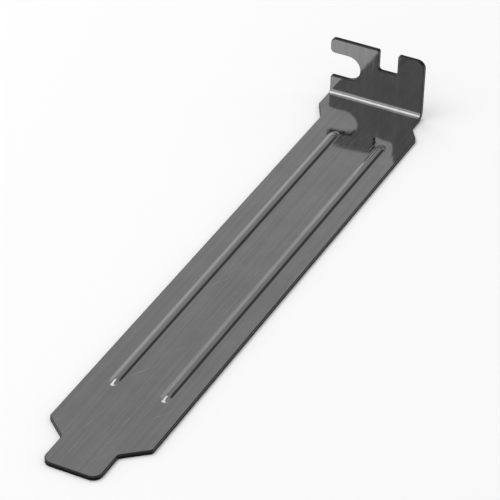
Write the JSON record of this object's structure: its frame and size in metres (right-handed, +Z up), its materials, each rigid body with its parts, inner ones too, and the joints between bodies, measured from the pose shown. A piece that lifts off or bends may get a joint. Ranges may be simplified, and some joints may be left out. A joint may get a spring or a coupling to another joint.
{
  "type": "expansion slot cover bracket",
  "caption": "Blank cover bracket for a computer's expansion slot: a long ribbed plate of folded sheet steel with a slotted screw tab and a locating tongue.",
  "frame": {"origin": "middle of the overall box across and along the plate, on the ground plane under the plate", "axes": "+X across the plate, away from the screw slot's mouth; +Y along the plate towards the tab; +Z up out of the plate, the way the tab stands"},
  "size_m": [0.0208, 0.12, 0.0123],
  "materials": {
    "plated_steel": "bright nickel plated sheet steel, smooth, with fine rolling marks"
  },
  "bodies": {
    "root": {"bracket": "plated_steel"}
  },
  "joints": []
}
